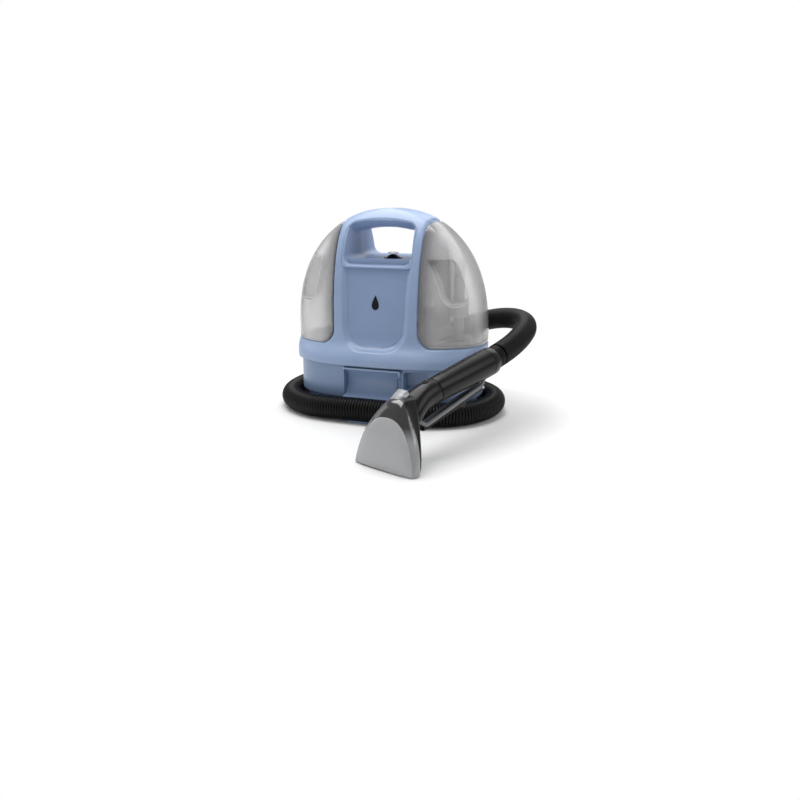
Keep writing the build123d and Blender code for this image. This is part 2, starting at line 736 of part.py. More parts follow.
def spray_tube():
    """Thin solution tube under the handle, from the valve to the spray tip."""
    line = FilletPolyline([(8, 200, 90), (13, 184, 77), (13, 68, 45.5), (11, 48, 58)], radius=8)
    return sweep(Plane(line @ 0, z_dir=line % 0) * Circle(2.6), line)


def placed(shape):
    return TOOL_PLACE * shape


def write_parts():
    os.makedirs("parts", exist_ok=True)
    body = housing_solid()
    path = hose_path()
    nodes = {
        "base_plate": base_plate(),
        "base_shell": base_shell(),
        "rubber_feet": rubber_feet(),
        "base_screws": base_screws(),
        "hose_cradle": hose_cradle(),
        "cradle_latch": cradle_latch(),
        "front_housing": front_housing(body),
        "rear_housing": rear_housing(body),
        "top_cover": top_cover(body),
        "front_panel": front_panel(),
        "rear_grille": rear_grille(),
        "housing_screws": housing_screws(),
        "cord_gland": cord_gland(),
        "button_bezel": button_bezel(),
        "power_button": power_button(),
        "button_cap": button_cap(),
        "power_switch": power_switch(),
        "motor_can": motor_can(),
        "motor_stator": motor_stator(),
        "motor_armature": motor_armature(),
        "motor_mount": motor_mount(),
        "motor_shaft": motor_shaft(),
        "impeller": impeller(),
        "fan_housing": fan_housing(),
        "pump_body": pump_body(),
        "pump_rotor": pump_rotor(),
        "pump_cover": pump_cover(),
        "supply_line": supply_line(),
        "suction_duct": suction_duct(),
        "clean_tank": clean_tank(),
        "clean_tank_cap": clean_tank_cap(),
        "valve_plunger": valve_plunger(),
        "clean_receiver": clean_receiver(),
        "dirty_tank": dirty_tank(),
        "dirty_tank_base": dirty_tank_base(),
        "tank_seal": tank_seal(),
        "standpipe": standpipe(),
        "tank_float": tank_float(),
        "tank_catches": tank_catches(),
        "hose": hose(path),
        "hose_port": hose_port(),
        "hose_cuff": hose_cuff(path),
        "tool_handle": placed(tool_handle()),
        "tool_neck": placed(tool_neck()),
        "nozzle_body": placed(nozzle_body()),
        "nozzle_window": placed(nozzle_window()),
        "spray_tip": placed(spray_tip()),
        "tool_lock": placed(tool_lock()),
        "tool_trigger": placed(tool_trigger()),
        "trigger_pin": placed(trigger_pin()),
        "spray_tube": placed(spray_tube()),
    }
    for name, shape in nodes.items():
        if isinstance(shape, list):
            shape = Compound(children=shape)
        export_step(shape, f"parts/{name}.step")


write_parts()
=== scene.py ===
"""Portable spot extractor: the visible pieces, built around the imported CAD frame."""

from math import asin, cos, exp, pi, radians, sin

import bpy
import numpy as np
from mathutils import Matrix, Vector


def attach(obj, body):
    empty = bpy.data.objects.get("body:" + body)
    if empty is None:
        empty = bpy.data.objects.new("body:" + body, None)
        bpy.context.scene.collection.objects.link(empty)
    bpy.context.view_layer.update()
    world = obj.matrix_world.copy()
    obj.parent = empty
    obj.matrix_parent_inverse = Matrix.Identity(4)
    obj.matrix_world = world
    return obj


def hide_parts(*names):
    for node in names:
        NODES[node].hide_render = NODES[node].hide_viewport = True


bl_info = {
    "name": "Spot extractor",
    "version": (1, 0, 0),
    "blender": (4, 5, 0),
    "location": "View3D > Sidebar > Spot extractor",
    "description": "Builds a portable spot extractor around its CAD frame",
    "category": "Add Mesh",
}

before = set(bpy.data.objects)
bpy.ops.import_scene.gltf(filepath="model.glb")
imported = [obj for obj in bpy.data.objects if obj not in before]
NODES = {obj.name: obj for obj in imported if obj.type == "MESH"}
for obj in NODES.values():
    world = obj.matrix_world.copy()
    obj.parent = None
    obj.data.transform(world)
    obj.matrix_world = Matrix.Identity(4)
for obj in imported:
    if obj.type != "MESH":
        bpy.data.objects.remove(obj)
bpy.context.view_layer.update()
MM = 0.001

# The body, in mm: half width, foot, top and roundness of its arch from the front, then its plan
ARCH_HALF = 152.3
ARCH_FOOT = 108.3
ARCH_TOP = 312.0
ARCH_POWER = 2.24
BODY_Y = 6.5
BODY_DEPTH = 82.9
FOOT_POWER = 2.55

# The column between the tanks, the foot of its cover, and the skirt: foot, deck, spread, reach, taper
COLUMN_HALF = 68.0
COVER_FOOT = 226.2
SKIRT_FOOT = 81.0
DECK_TOP = 111.7
SKIRT_SPREAD = 13.0
SKIRT_REACH = 27.0
SKIRT_TAPER = 1.6

# Walls, the middle of each tank, and how far cutters reach past the body
HOUSING_WALL = 3.0
TANK_WALL = 2.2
TANK_X = 108.0
SIDE = 200.0
FRONT = -140.0
BACK = 150.0

# The power button, and the block that cuts the rear vent
BUTTON_Y = 8.0
BUTTON_RADIUS = 13.0
VENT = ((-39.9, 39.9), (60, 120), (150.1, 204.9))

# Points round the body and mm between its rows: for a visible piece and for the housing itself
FINE = (150, 3.2)
FINEST = (190, 2.3)

# The hand opening at several depths: y, half width, height of its top, height of the cover's floor
OPENING = (
    (-140, 58.0, 298.0, 217.0), (-72, 57.0, 298.0, 223.5), (-66, 56.8, 298.0, 228.6),
    (-60, 56.5, 297.8, 232.3), (-52, 56.0, 297.5, 234.6), (-42, 55.2, 297.0, 235.6),
    (-36, 54.8, 296.0, 236.0), (-31, 54.4, 292.0, 236.0), (-25, 54.0, 287.5, 236.0),
    (-17, 53.4, 284.8, 236.0), (-6, 52.8, 284.0, 236.0), (5, 52.6, 284.0, 236.2),
    (9, 54.0, 284.0, 236.4), (13, 58.4, 284.0, 236.6), (18, 59.8, 284.0, 236.8),
    (28, 60.0, 284.6, 237.3), (38, 60.0, 287.0, 237.8), (44, 59.8, 291.0, 238.2),
    (50, 59.6, 295.0, 238.4), (150, 59.0, 298.0, 239.0),
)
OPENING_CORNER = 7.0
COVE = 12.0
LINER = 2.6

# The dished bib: its depth, how far outside its outline the dish starts, and the width of its slope
BIB_DEPTH = 5.6
BIB_EDGE = 3.0
BIB_SLOPE = 7.5

# The hand tool's own frame: its lip's middle on the floor and its turn about +Z
TOOL_TURN = radians(-22.4)
TOOL_PLACE = Matrix.Translation((98.5, -294.0, 0.0)) @ Matrix.Rotation(TOOL_TURN, 4, "Z")

# The suction hose's route, from the port on the base to the hand tool, in metres
HOSE_ROUTE = (
    (-0.050, 0.106, 0.060), (-0.018, 0.108, 0.0555), (0.020, 0.1095, 0.038),
    (0.055, 0.1085, 0.023), (0.094, 0.1025, 0.0176), (0.1382, 0.0762, 0.0175),
    (0.1665, 0.0279, 0.0175), (0.1655, -0.0279, 0.0175), (0.1382, -0.0762, 0.0175),
    (0.090, -0.1025, 0.0178), (0.040, -0.1075, 0.020), (-0.012, -0.1085, 0.021),
    (-0.058, -0.107, 0.0195), (-0.098, -0.101, 0.0176), (-0.142, -0.072, 0.0175),
    (-0.166, -0.025, 0.0175), (-0.1685, 0.027, 0.018), (-0.153, 0.076, 0.021),
    (-0.118, 0.115, 0.030), (-0.072, 0.142, 0.045), (-0.020, 0.152, 0.066),
    (0.034, 0.156, 0.090), (0.082, 0.158, 0.113), (0.128, 0.150, 0.128),
    (0.166, 0.126, 0.1345), (0.192, 0.090, 0.135), (0.206, 0.046, 0.132),
    (0.207, -0.002, 0.1255), (0.1985, -0.046, 0.1153), (0.189, -0.074, 0.1098),
)


# -------------------------- settings

class BodySettings(bpy.types.PropertyGroup):
    edge: bpy.props.FloatProperty(
        name="Edge rounding", description="Radius of the small edges of the housing, in mm",
        default=0.9, min=0.2, max=3.0)
    roll: bpy.props.FloatProperty(
        name="Rolled edge", description="Radius of the skin's rolled edges round the openings, in mm",
        default=3.4, min=1.0, max=6.0)


class HoseSettings(bpy.types.PropertyGroup):
    diameter: bpy.props.FloatProperty(
        name="Diameter", description="Outer diameter of the suction hose",
        default=0.034, unit="LENGTH")
    pitch: bpy.props.FloatProperty(
        name="Rib pitch", description="Distance from one rib of the hose to the next",
        default=0.0044, unit="LENGTH")
    rib_depth: bpy.props.FloatProperty(
        name="Rib depth", description="Depth of the valleys between the ribs",
        default=0.0026, unit="LENGTH")


class StageSettings(bpy.types.PropertyGroup):
    key_power: bpy.props.FloatProperty(
        name="Key light", description="Power of the large overhead light", default=38.0, unit="POWER")
    fill: bpy.props.FloatProperty(
        name="Ambient", description="Strength of the even light from all round", default=0.56)


# -------------------------- materials

def hex_linear(code):
    """sRGB hex colour as a linear RGBA tuple."""
    channels = [int(code[i:i + 2], 16) / 255 for i in (1, 3, 5)]
    linear = [c / 12.92 if c <= 0.04045 else ((c + 0.055) / 1.055) ** 2.4 for c in channels]
    return (*linear, 1.0)


def add_node(tree, kind, settings=None, inputs=None):
    """Adds one shader node, with its settings and with values or links on its inputs."""
    made = tree.nodes.new(kind)
    for name, value in (settings or {}).items():
        setattr(made, name, value)
    for name, value in (inputs or {}).items():
        if isinstance(value, bpy.types.NodeSocket):
            tree.links.new(value, made.inputs[name])
        else:
            made.inputs[name].default_value = value
    return made


def new_material(name, **sockets):
    """A Principled material with constants set straight on the shader."""
    material = bpy.data.materials.new(name)
    material.use_nodes = True
    shader = material.node_tree.nodes["Principled BSDF"]
    for socket, value in sockets.items():
        shader.inputs[socket.replace("_", " ")].default_value = value
    return material, material.node_tree, shader


def moulded_surface(tree, shader, grain_mm, bump, rough_low, rough_high):
    """Fine moulded grain: a bump at the grain's size and slow changes of roughness."""
    place = add_node(tree, "ShaderNodeTexCoord")
    grain = add_node(tree, "ShaderNodeTexNoise", inputs={
        "Vector": place.outputs["Object"], "Scale": 1 / (grain_mm * MM), "Detail": 3.0})
    patches = add_node(tree, "ShaderNodeTexNoise", inputs={
        "Vector": place.outputs["Object"], "Scale": 22.0, "Detail": 4.0})
    rough = add_node(tree, "ShaderNodeMapRange", inputs={
        "Value": patches.outputs["Fac"], "From Min": 0.3, "From Max": 0.7,
        "To Min": rough_low, "To Max": rough_high})
    relief = add_node(tree, "ShaderNodeBump", inputs={
        "Height": grain.outputs["Fac"], "Strength": bump, "Distance": 0.0002})
    tree.links.new(rough.outputs["Result"], shader.inputs["Roughness"])
    tree.links.new(relief.outputs["Normal"], shader.inputs["Normal"])
    return patches


def object_axes(tree):
    """X, Y and Z of the shaded point, from a node's outputs."""
    place = add_node(tree, "ShaderNodeTexCoord")
    return add_node(tree, "ShaderNodeSeparateXYZ", inputs={"Vector": place.outputs["Object"]})


def mottled_colour(tree, shader, factor, low, high):
    """Drift between two hex colours, over the middle of a factor's range."""
    ramp = add_node(tree, "ShaderNodeValToRGB", inputs={"Fac": factor})
    ramp.color_ramp.elements[0].position = 0.3
    ramp.color_ramp.elements[1].position = 0.7
    ramp.color_ramp.elements[0].color = hex_linear(low)
    ramp.color_ramp.elements[1].color = hex_linear(high)
    tree.links.new(ramp.outputs["Color"], shader.inputs["Base Color"])


def moulding(name, low, high, rough, grain, bump, **sockets):
    """A moulded piece's material: fine grain and a very slight drift of colour."""
    material, tree, shader = new_material(name, **sockets)
    patches = moulded_surface(tree, shader, grain, bump, *rough)
    mottled_colour(tree, shader, patches.outputs["Fac"], low, high)
    return material


def blue_abs(name, low, high, rough=(0.30, 0.40)):
    """Moulded ABS, pigmented pale blue: satin, with a fine spark-eroded grain."""
    return moulding(name, low, high, rough, 0.7, 0.06, IOR=1.53)


def black_abs(name, low, high, rough, grain=0.5, bump=0.03):
    """Black ABS from a polished mould: deep, with broad soft highlights."""
    return moulding(name, low, high, rough, grain, bump, IOR=1.53, Specular_IOR_Level=0.2)


def smoky_copolyester(name, face, edge, see_through, rough=(0.1, 0.18)):
    """Injection-moulded smoky clear copolyester: see-through face on, denser and darker edge on."""
    material, tree, shader = new_material(name, IOR=1.57, Coat_Weight=0.35, Coat_Roughness=0.08)
    moulded_surface(tree, shader, 6.0, 0.02, *rough)
    rim = add_node(tree, "ShaderNodeLayerWeight", inputs={"Blend": 0.32})
    mottled_colour(tree, shader, rim.outputs["Facing"], face, edge)
    density = add_node(tree, "ShaderNodeMapRange", inputs={
        "Value": rim.outputs["Facing"], "From Min": 0.1, "From Max": 0.95,
        "To Min": 1 - see_through, "To Max": 0.92})
    tree.links.new(density.outputs["Result"], shader.inputs["Alpha"])
    return material


def tank_copolyester(name):
    """The tanks' moulding: pale and see-through outside, with painted shade on the wall by the column, which
    is made darker and less see-through there.
    """
    material = smoky_copolyester(name, "#eeeeef", "#6e6b68", 0.74)
    tree = material.node_tree
    shader = tree.nodes["Principled BSDF"]
    axes = object_axes(tree)
    side = add_node(tree, "ShaderNodeMath", {"operation": "ABSOLUTE"}, {0: axes.outputs["X"]})
    # Painted shade: from 10 cm to 7 cm off the middle the wall is painted darker and more opaque, for the
    # shade between tank and column.
    near = add_node(tree, "ShaderNodeMapRange", {"interpolation_type": "SMOOTHSTEP"}, {
        "Value": side.outputs["Value"], "From Min": 0.100, "From Max": 0.070, "To Min": 0.0, "To Max": 1.0})
    painted_column_shade = add_node(tree, "ShaderNodeMix", {"data_type": "RGBA"}, {
        "Factor": near.outputs["Result"], 6: shader.inputs["Base Color"].links[0].from_socket,
        7: hex_linear("#86868a")})
    painted_shade_alpha = add_node(tree, "ShaderNodeMath", {"operation": "MULTIPLY_ADD", "use_clamp": True}, {
        0: near.outputs["Result"], 1: 0.3, 2: shader.inputs["Alpha"].links[0].from_socket})
    tree.links.new(painted_column_shade.outputs[2], shader.inputs["Base Color"])
    tree.links.new(painted_shade_alpha.outputs["Value"], shader.inputs["Alpha"])
    return material


def nozzle_clear(name):
    """Clear nozzle cheeks: grey over the air gap, black where the body shows through near the top."""
    material, tree, shader = new_material(name, IOR=1.57, Coat_Weight=0.8, Coat_Roughness=0.05)
    moulded_surface(tree, shader, 6.0, 0.02, 0.12, 0.2)
    axes = object_axes(tree)
    height = add_node(tree, "ShaderNodeMapRange", inputs={
        "Value": axes.outputs["Z"], "From Min": 0.03, "From Max": 0.07})
    mottled_colour(tree, shader, height.outputs["Result"], "#8b8c8e", "#0a0a0b")
    return material


def moulded_rubber(name, low, high):
    """Moulded nitrile rubber: matt, with a fine grain."""
    return moulding(name, low, high, (0.62, 0.78), 0.4, 0.1, IOR=1.52)


def zinc_plated_steel(name, low, high):
    """Bright zinc plating on turned and pressed steel, with fine lathe lines."""
    material, tree, shader = new_material(name, Metallic=1.0)
    place = add_node(tree, "ShaderNodeTexCoord")
    lines = add_node(tree, "ShaderNodeTexWave", {"wave_type": "RINGS", "rings_direction": "Z"}, {
        "Vector": place.outputs["Object"], "Scale": 900.0, "Distortion": 0.6})
    relief = add_node(tree, "ShaderNodeBump", inputs={
        "Height": lines.outputs["Fac"], "Strength": 0.08, "Distance": 0.0001})
    rough = add_node(tree, "ShaderNodeMapRange", inputs={
        "Value": lines.outputs["Fac"], "To Min": 0.25, "To Max": 0.4})
    tree.links.new(relief.outputs["Normal"], shader.inputs["Normal"])
    tree.links.new(rough.outputs["Result"], shader.inputs["Roughness"])
    mottled_colour(tree, shader, lines.outputs["Fac"], low, high)
    return material


MATERIALS = {}


def make_materials():
    MATERIALS.update({
        "body": blue_abs("blue_abs_satin", "#8a9fc0", "#8fa4c5"),
        # The front panel is the body's blue painted darker: painted shade on the recessed panel.
        "panel": blue_abs("blue_abs_panel_painted_shade", "#7f95b8", "#849abd"),
        # The base pieces are the body's blue painted darker: painted shade under the skirt's overhang.
        "base": blue_abs("blue_abs_base_painted_shade", "#7a90b2", "#7f95b7"),
        "tank": tank_copolyester("smoky_copolyester_tank"),
        "inner_tank": smoky_copolyester("smoky_copolyester_inner", "#dcdcde", "#8d8c8b", 0.5),
        "clear": smoky_copolyester("clear_polycarbonate", "#d9dadc", "#8c8d8f", 0.75, (0.04, 0.08)),
        "window": smoky_copolyester("frosted_polycarbonate", "#a4a5a7", "#737476", 0.02, (0.16, 0.26)),
        "cheeks": nozzle_clear("clear_polycarbonate_cheeks"),
        "black": black_abs("black_abs_polished", "#030303", "#050505", (0.2, 0.28)),
        "trim": black_abs("black_abs_trim", "#070707", "#0b0b0b", (0.34, 0.44)),
        # Painted highlight: the spray tube is painted light grey to stand for the bright highlight line along
        # the trigger's edge.
        "rod": black_abs("grey_abs_painted_highlight", "#6f7072", "#7b7c7e", (0.2, 0.28)),
        "hose": black_abs("black_polyethylene_extruded", "#030303", "#050505", (0.34, 0.42), 1.2, 0.06),
        "rubber": moulded_rubber("nitrile_rubber_moulded", "#151516", "#1d1d1e"),
        "steel": zinc_plated_steel("zinc_plated_steel", "#a8a9ab", "#c3c4c6"),
        "aluminium": zinc_plated_steel("turned_aluminium", "#b9babd", "#cfd0d2"),
        "natural": blue_abs("natural_polypropylene", "#b4b4ae", "#c0c0ba", (0.4, 0.5)),
    })


# -------------------------- mesh helpers

def deselect():
    for thing in bpy.context.selected_objects:
        thing.select_set(False)


def activate(thing):
    deselect()
    thing.select_set(True)
    bpy.context.view_layer.objects.active = thing


def edit(thing, *steps):
    """Runs edit-mode steps on everything in the mesh."""
    activate(thing)
    bpy.ops.object.mode_set(mode="EDIT")
    bpy.ops.mesh.select_all(action="SELECT")
    for step in steps:
        step()
    bpy.ops.object.mode_set(mode="OBJECT")


def close_up():
    """Merges doubles, fills the open ends and turns the faces outward."""
    bpy.ops.mesh.remove_doubles(threshold=1e-6)
    bpy.ops.mesh.select_all(action="DESELECT")
    bpy.ops.mesh.select_non_manifold()
    bpy.ops.mesh.fill_holes(sides=0)
    bpy.ops.mesh.select_all(action="SELECT")
    bpy.ops.mesh.normals_make_consistent(inside=False)


def apply_all(thing):
    activate(thing)
    for modifier in list(thing.modifiers):
        bpy.ops.object.modifier_apply(modifier=modifier.name)


def modify(thing, kind, **settings):
    """Adds one modifier with its settings and applies it."""
    modifier = thing.modifiers.new(kind.lower(), kind)
    for name, value in settings.items():
        setattr(modifier, name, value)
    apply_all(thing)


def cut(thing, tool, operation="DIFFERENCE"):
    """Boolean with a tool, which is removed afterwards."""
    modify(thing, "BOOLEAN", object=tool, operation=operation, solver="EXACT")
    bpy.data.objects.remove(tool)


def round_edges(thing, width_mm, segments=3, angle=32):
    modify(thing, "BEVEL", width=width_mm * MM, segments=segments, limit_method="ANGLE",
           angle_limit=radians(angle), use_clamp_overlap=True, miter_outer="MITER_ARC")


def smooth(thing, angle=32):
    activate(thing)
    bpy.ops.object.shade_smooth_by_angle(angle=radians(angle))


def primitive(name, kind, **settings):
    """Adds one of Blender's own mesh primitives."""
    deselect()
    getattr(bpy.ops.mesh, f"primitive_{kind}_add")(**settings)
    thing = bpy.context.object
    thing.name = name
    return thing


def wrapped(name, around, rows, place):
    """A closed form from a grid wrapped round: place(turn, row) gives points in mm."""
    thing = primitive(name, "grid", x_subdivisions=around, y_subdivisions=rows - 1, size=2)
    for vertex in thing.data.vertices:
        turn = (vertex.co.x + 1) * pi
        row = (vertex.co.y + 1) / 2 * (rows - 1)
        vertex.co = Vector(place(turn, round(row))) * MM
    edit(thing, close_up)
    return thing


def oval_point(turn, half, depth, power, y0, z):
    """A point on a squared-off oval, in mm: the higher the power, the squarer."""
    c, s = cos(turn), sin(turn)
    x = half * abs(c) ** (2 / power) * (1 if c >= 0 else -1)
    y = depth * abs(s) ** (2 / power) * (1 if s >= 0 else -1)
    return (x, y + y0, z)


def box_tool(name, x, y, z, bevel_mm=0.0):
    """A block between two corners, in mm, with rounded edges when asked for."""
    thing = primitive(name, "cube", size=1)
    for vertex in thing.data.vertices:
        for axis, (low, high) in enumerate((x, y, z)):
            vertex.co[axis] = (low if vertex.co[axis] < 0 else high) * MM
    if bevel_mm:
        modify(thing, "BEVEL", width=bevel_mm * MM, segments=4, limit_method="NONE")
    return thing


def post_tool(name, centre, radius, z0, z1):
    """An upright round block, in mm."""
    thing = primitive(name, "cylinder", vertices=64, radius=radius * MM, depth=(z1 - z0) * MM,
                      location=Vector((*centre, (z0 + z1) / 2)) * MM)
    bpy.ops.object.transform_apply()
    return thing


def mesh_thing(name, verts, faces):
    """An object linked to the scene, made from points and faces."""
    mesh = bpy.data.meshes.new(name)
    mesh.from_pydata(verts, [], faces)
    thing = bpy.data.objects.new(name, mesh)
    bpy.context.scene.collection.objects.link(thing)
    return thing


def ring_quads(count, size):
    """Faces between the rings of a form: count points in all, size points to a ring."""
    quads = []
    for start in range(0, count - size, size):
        for k in range(size):
            a, b = start + k, start + (k + 1) % size
            quads.append((a, b, b + size, a + size))
    return quads


def closed_thing(name, verts, faces):
    """An object with its faces turned outward."""
    thing = mesh_thing(name, verts, faces)
    edit(thing, lambda: bpy.ops.mesh.normals_make_consistent(inside=False))
    return thing


def outline_tool(name, outline, y0, y1):
    """A front-view outline, in mm, carried from y0 to y1 as a closed block."""
    thing = mesh_thing(name, [Vector((x, y0, z)) * MM for x, z in outline], [range(len(outline))])
    reach = Vector((0, (y1 - y0) * MM, 0))

    def carry():
        bpy.ops.mesh.extrude_region_move(TRANSFORM_OT_translate={"value": reach})
        bpy.ops.mesh.select_all(action="SELECT")
        bpy.ops.mesh.normals_make_consistent(inside=False)

    edit(thing, carry)
    return thing


def arc_points(centre, radius, start, stop, steps=8):
    """Points on a round corner of an outline, angles in degrees."""
    turns = [radians(start + (stop - start) * step / steps) for step in range(steps + 1)]
    return [(centre[0] + radius * cos(turn), centre[1] + radius * sin(turn)) for turn in turns]


def copy_of(thing, name):
    twin = thing.copy()
    twin.data = thing.data.copy()
    twin.name = name
    bpy.context.scene.collection.objects.link(twin)
    return twin


def transform_mesh(thing, matrix_mm):
    """Moves a mesh's points by a matrix that works in mm."""
    scale = Matrix.Scale(MM, 4)
    thing.data.transform(scale @ matrix_mm @ scale.inverted())


def hand_over(thing, body, slot, material, *replaced):
    """Gives a finished piece its material and its CAD body, and hides the nodes it stands for; slot is not
    used.
    """
    thing.data.materials.clear()
    thing.data.materials.append(MATERIALS[material])
    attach(thing, body)
    if replaced:
        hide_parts(*replaced)
    return thing


def dressed(node, body, slot, material, bevel_mm=0.4, angle=35):
    """A merged copy of a CAD node with its sharp edges rounded."""
    thing = copy_of(NODES[node], f"{node}_piece")
    thing.parent = None
    for key in list(thing.keys()):
        del thing[key]
    edit(thing, lambda: bpy.ops.mesh.remove_doubles(threshold=1e-6),
         lambda: bpy.ops.mesh.tris_convert_to_quads(),
         lambda: bpy.ops.mesh.dissolve_limited(angle_limit=radians(1.0)))
    if bevel_mm:
        round_edges(thing, bevel_mm, 2, angle)
    smooth(thing, angle)
    return hand_over(thing, body, slot, material, node)


# -------------------------- body

def flare(z):
    """How far the skirt still spreads at a height: 1 at its foot, 0 well above the deck."""
    return exp(-((max(z, SKIRT_FOOT) - SKIRT_FOOT) / SKIRT_REACH) ** 3.2)


def body_depth(z):
    """Half depth of the body at a height, skirt included."""
    t = min(max((z - ARCH_FOOT) / (ARCH_TOP + 4 - ARCH_FOOT), 0.0), 1.0)
    return BODY_DEPTH * (1 - t ** 2.6) ** (1 / 2.2) + SKIRT_SPREAD * flare(z)


def oval_turn(share):
    """Angle round the body for a share of the way round, in even steps across the front."""
    front, reach = 0.45, radians(30)
    if share <= front:
        spread = sin(reach) ** (2 / FOOT_POWER) * (2 * share / front - 1)
        turn = asin(abs(spread) ** (FOOT_POWER / 2))
        return -pi / 2 + (turn if spread > 0 else -turn)
    return -pi / 2 + reach + (share - front) / (1 - front) * 2 * (pi - reach)


def body_form(name, inset=0.0, around=120, step=4.4):
    """The whole outer form of skirt and arch, moved inwards by inset, with rows about step mm apart."""
    height = ARCH_TOP - inset - ARCH_FOOT
    crown = 0.89
    foot_rows = round((ARCH_FOOT - SKIRT_FOOT) / step * 1.6)
    flank_rows = round(crown * height / step)
    crown_climb = asin(crown ** (ARCH_POWER / 2))
    crown_rows = round(44 / step) + 6

    def place(turn, row):
        half = ARCH_HALF
        if row < foot_rows:
            z = SKIRT_FOOT + (ARCH_FOOT - SKIRT_FOOT) * row / foot_rows
        else:
            if row <= foot_rows + flank_rows:
                climb = asin((crown * (row - foot_rows) / flank_rows) ** (ARCH_POWER / 2))
            else:
                share = (row - foot_rows - flank_rows) / crown_rows
                climb = crown_climb + (pi / 2 - crown_climb) * share
            z = ARCH_FOOT + height * sin(climb) ** (2 / ARCH_POWER)
            half = inset + (ARCH_HALF - inset) * max(cos(climb), 0.0) ** (2 / ARCH_POWER)
        taper = SKIRT_TAPER * max(1 - (z - SKIRT_FOOT) / 22, 0)
        half += 0.7 * flare(z) - inset - taper
        power = FOOT_POWER + min(max((z - 110) / 120, 0), 1)
        angle = oval_turn(turn / (2 * pi))
        depth = body_depth(z) - inset - taper
        return oval_point(angle, max(half, 0), depth, power, BODY_Y * (1 - flare(z)), z)

    return wrapped(name, around, foot_rows + flank_rows + crown_rows + 1, place)


def distance_from(outline, x, z):
    """Distance of front-view points from an outline: positive outside it, negative inside."""
    far = np.full(x.shape, 1e9)
    inside = np.zeros(x.shape, bool)
    for (x0, z0), (x1, z1) in zip(outline, outline[1:] + outline[:1]):
        run, rise = x1 - x0, z1 - z0
        along = np.clip(((x - x0) * run + (z - z0) * rise) / (run * run + rise * rise + 1e-12), 0, 1)
        far = np.minimum(far, np.hypot(x - x0 - along * run, z - z0 - along * rise))
        if rise:
            crosses = (z0 > z) != (z1 > z)
            inside ^= crosses & (x < x0 + (z - z0) / rise * run)
    return np.where(inside, -far, far)


def rolled(distance, radius):
    """How far a rounded edge falls away at a distance from it."""
    reach = radius - np.clip(distance, 0, radius)
    return radius - np.sqrt(radius ** 2 - reach ** 2)


def press_in(thing, roll):
    """Dishes the bib and, where roll is not 0, rolls the skin in round its openings."""
    mesh = thing.data
    count = len(mesh.vertices)
    places, normals = np.empty(count * 3), np.empty(count * 3)
    mesh.vertices.foreach_get("co", places)
    mesh.vertex_normals.foreach_get("vector", normals)
    places, normals = places.reshape(-1, 3) / MM, normals.reshape(-1, 3)
    x, y, z = places.T
    share = np.clip((BIB_EDGE - distance_from(bib_outline(), x, z)) / BIB_SLOPE, 0, 1)
    rise = np.clip((z - 101) / 30, 0.3, 1)
    depth = np.where(y < -20, BIB_DEPTH * share * share * (3 - 2 * share) * rise * (2 - rise), 0.0)
    if roll:
        for sign in (-1, 1):
            depth = np.maximum(depth, rolled(distance_from(bay_outline(sign, 0.0), x, z), roll))
        rim = opening_outline(56.0, 297.0, COVER_FOOT, OPENING_CORNER)
        depth = np.maximum(depth, rolled(distance_from(rim, x, z), roll * 0.5))
        depth = np.maximum(depth, rolled(z - SKIRT_FOOT, roll * 0.7))
    mesh.vertices.foreach_set("co", ((places - normals * depth[:, None]) * MM).ravel())
    mesh.update()


def bay_outline(sign, gap, closed=False):
    """Front view of a tank's bay: upright inner side, round lower corner; closed rounds its top too."""
    side, floor = COLUMN_HALF + gap, DECK_TOP + gap
    corner = 22.0
    outline = [(SIDE, floor)]
    outline += arc_points((side + corner, floor + corner), corner, 180, 270)[::-1]
    if closed:
        outline += arc_points((side + 14, 281), 14, 180, 100, 6)
        outline += [(SIDE, 300)]
    else:
        outline += [(side, 340), (SIDE, 340)]
    return [(sign * x, z) for x, z in outline]


def bay_tool(sign, gap, closed=False):
    """A tank's bay as a cutter through the whole depth."""
    return outline_tool("bay", bay_outline(sign, gap, closed), FRONT, BACK)


def bib_outline(grow=0.0):
    """Front view of the recessed panel, with a round-cornered foot."""
    top, foot, wide, narrow, corner = COVER_FOOT + 14, 105.0 - grow, 53.5 + grow, 49.5 + grow, 32.0
    right = arc_points((narrow - corner, foot + corner), corner, -90, 0)
    left = arc_points((-narrow + corner, foot + corner), corner, 180, 270)
    return left + right + [(wide, top), (-wide, top)]


def bib_tool(grow, deeper):
    """The recess in front of the bib, cut deeper than its dish by some mm."""
    tool = outline_tool("bib", bib_outline(grow), FRONT, -30)
    cut(tool, body_form("behind_bib", BIB_DEPTH + deeper))
    return tool


def opening_outline(half, top, foot, foot_corner, corner=16.0, sag=8.0):
    """Front view of the hand opening: arched top, round corners at top and foot."""
    points = arc_points((-half + foot_corner, foot + foot_corner), foot_corner, 180, 270)
    points += arc_points((half - foot_corner, foot + foot_corner), foot_corner, -90, 0)
    shoulder = top - sag * (1 - corner / half) ** 2 - corner
    points += arc_points((half - corner, shoulder), corner, 0, 80)
    for step in range(9):
        x = (half - corner) * (1 - step / 4)
        points.append((x, top - sag * (x / half) ** 2))
    points += arc_points((-half + corner, shoulder), corner, 100, 180)
    return points


def through_block(name, sections):
    """A closed block through front-view outlines, given as (y, outline) from front to back."""
    verts = [Vector((x, y, z)) * MM for y, outline in sections for x, z in outline]
    size = len(sections[0][1])
    ends = [tuple(range(size)), tuple(range(len(verts) - size, len(verts)))]
    return closed_thing(name, verts, ends + ring_quads(len(verts), size))


def opening_block(name, inset=0.0):
    """The whole hand opening down to the foot of the tower's cover."""
    return through_block(name, [
        (y, opening_outline(half - inset, top - inset, COVER_FOOT + inset, OPENING_CORNER))
        for y, half, top, _ in OPENING])


def opening_void(name):
    """What stays free over the cover: its floor is coved up into the side walls."""
    return through_block(name, [
        (y, opening_outline(half - LINER, top + 5, floor, COVE))
        for y, half, top, floor in OPENING])


